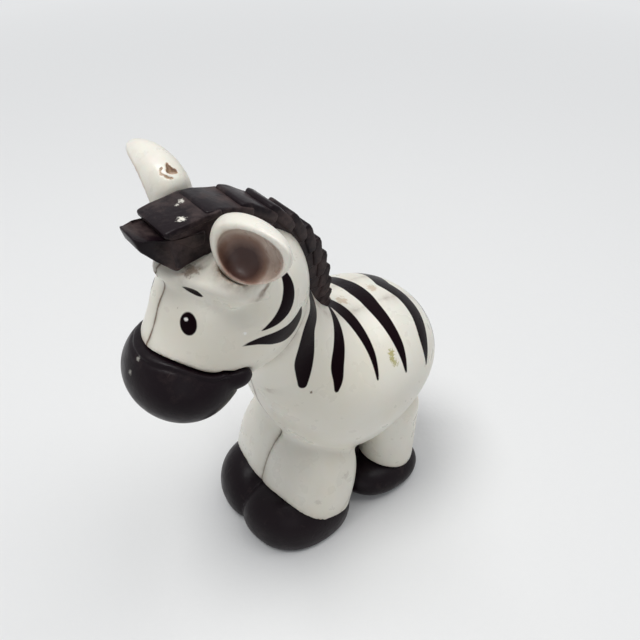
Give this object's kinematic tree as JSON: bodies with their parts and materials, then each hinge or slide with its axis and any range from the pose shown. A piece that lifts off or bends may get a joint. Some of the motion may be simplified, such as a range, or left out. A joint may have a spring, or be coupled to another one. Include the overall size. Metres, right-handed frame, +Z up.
{
  "type": "toy wild animal figure",
  "caption": "Chunky standing striped horse toy: hollow moulded body halves with pegged ears, mane, muzzle, tail and a flat-soled hoof base.",
  "frame": {"origin": "middle of the figure's bounding box in plan, at the flat soles of the hooves", "axes": "+Z up, -Y the way the animal faces, +X the animal's left side"},
  "size_m": [0.0372, 0.0608, 0.0759],
  "materials": {
    "white_body": "aged semi-gloss",
    "black_muzzle": "semi-gloss",
    "black_mane": "semi-gloss, scuffed",
    "white_ears": "aged semi-gloss",
    "black_hooves": "semi-gloss",
    "black_tail": "semi-gloss"
  },
  "bodies": {
    "root": {"shell_left": "white_body", "shell_right": "white_body", "muzzle": "black_muzzle", "mane": "black_mane", "ear_left": "white_ears", "ear_right": "white_ears", "hoof_base": "black_hooves", "tail": "black_tail"}
  },
  "joints": []
}
